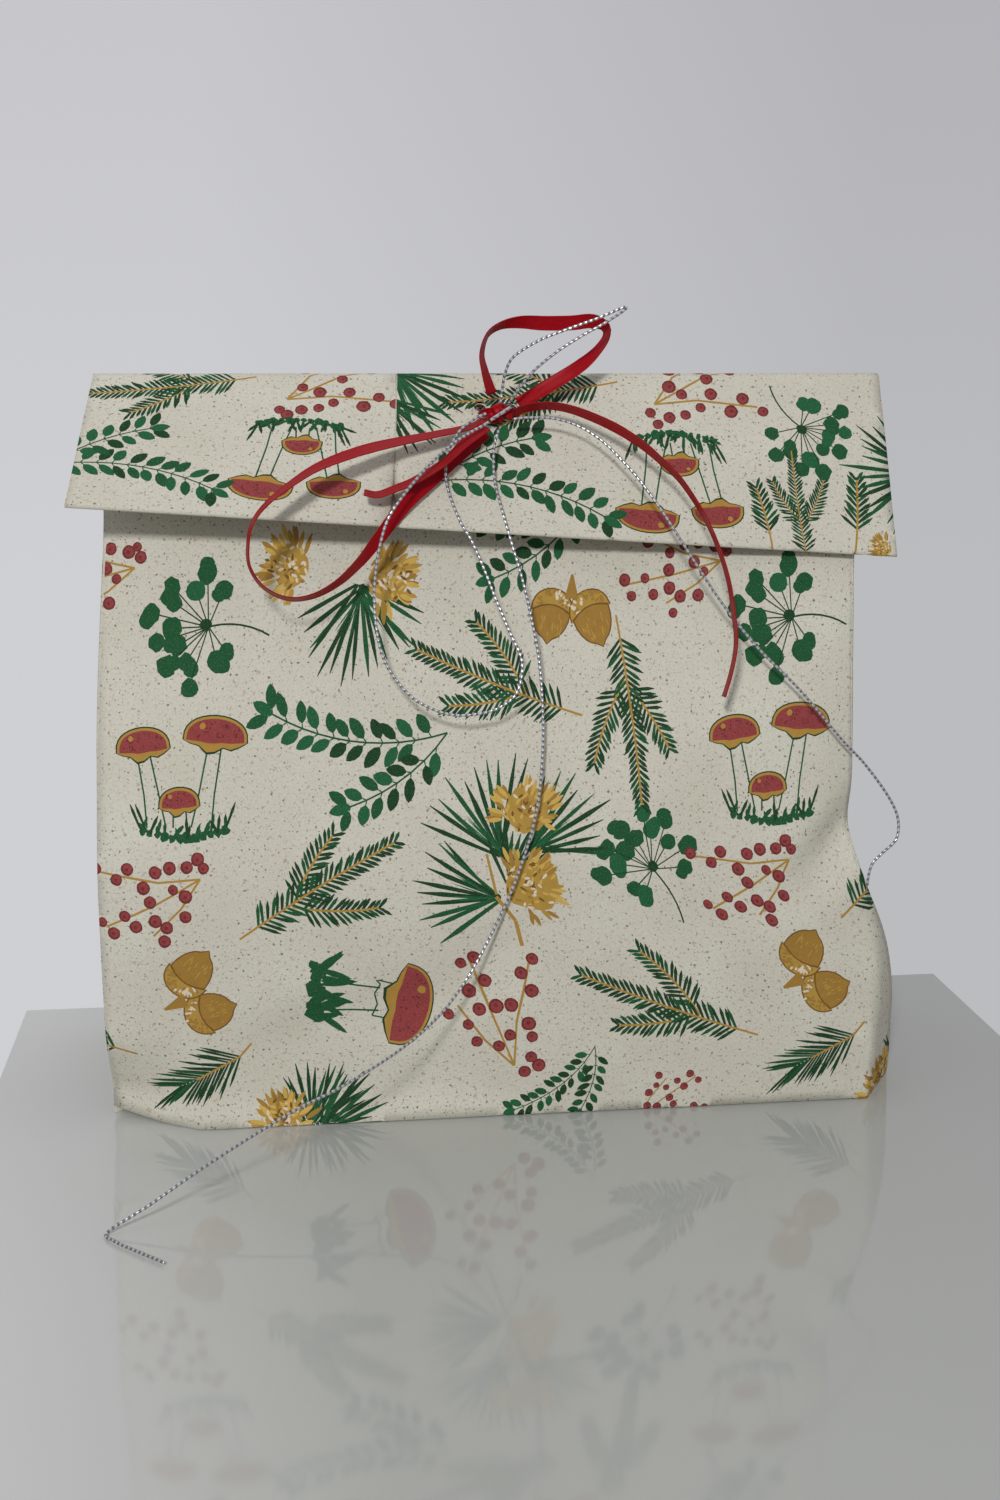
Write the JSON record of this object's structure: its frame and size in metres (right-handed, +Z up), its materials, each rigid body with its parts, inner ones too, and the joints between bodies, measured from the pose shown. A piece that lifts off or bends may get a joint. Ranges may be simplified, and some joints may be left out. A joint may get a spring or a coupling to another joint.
{
  "type": "gift bag",
  "caption": "Block-bottom printed paper gift bag, its top rolled forward as a flap and tied shut with a ribbon bow and a metallic cord.",
  "frame": {"origin": "middle of the block bottom, on the table", "axes": "+X to the right seen from the front, -Y out of the front panel, +Z up"},
  "size_m": [0.1846, 0.1352, 0.1789],
  "materials": {
    "paper": "uncoated speckled paper with a printed pattern",
    "ribbon": "red satin",
    "cord": "twisted metallic silver thread"
  },
  "bodies": {
    "bag": {"front_panel": "paper", "back_panel": "paper", "back_seam": "paper", "left_gusset": "paper", "right_gusset": "paper", "bottom_front_flap": "paper", "bottom_back_flap": "paper", "bottom_left_tuck": "paper", "bottom_right_tuck": "paper", "ribbon_back_strand": "ribbon", "silver_back_strand": "cord"},
    "flap": {"flap_outer_ply": "paper", "flap_turned_ply": "paper", "flap_seam": "paper"},
    "tie": {"ribbon_knot": "ribbon", "ribbon_right_loop": "ribbon", "ribbon_left_loop": "ribbon", "ribbon_left_tail": "ribbon", "ribbon_right_tail": "ribbon", "ribbon_left_leg": "ribbon", "ribbon_right_leg": "ribbon", "silver_knot_wrap": "cord", "silver_top_loop": "cord", "silver_lower_loop": "cord", "silver_left_tail": "cord", "silver_right_tail": "cord", "silver_left_leg": "cord", "silver_right_leg": "cord"}
  },
  "joints": [
    {"name": "flap_fold", "type": "hinge", "parent": "bag", "child": "flap", "pos_m": [0, 0.0015, 0.1624], "axis": [-1, 0, 0], "range_deg": [0, 140]},
    {"name": "tie_draw", "type": "slide", "parent": "bag", "child": "tie", "axis": [0, -1, 0], "range_m": [0, 0.225]}
  ],
  "couplings": [
    {"joint": "tie_draw", "follows": "flap_fold", "m_per_rad": 0.09}
  ]
}
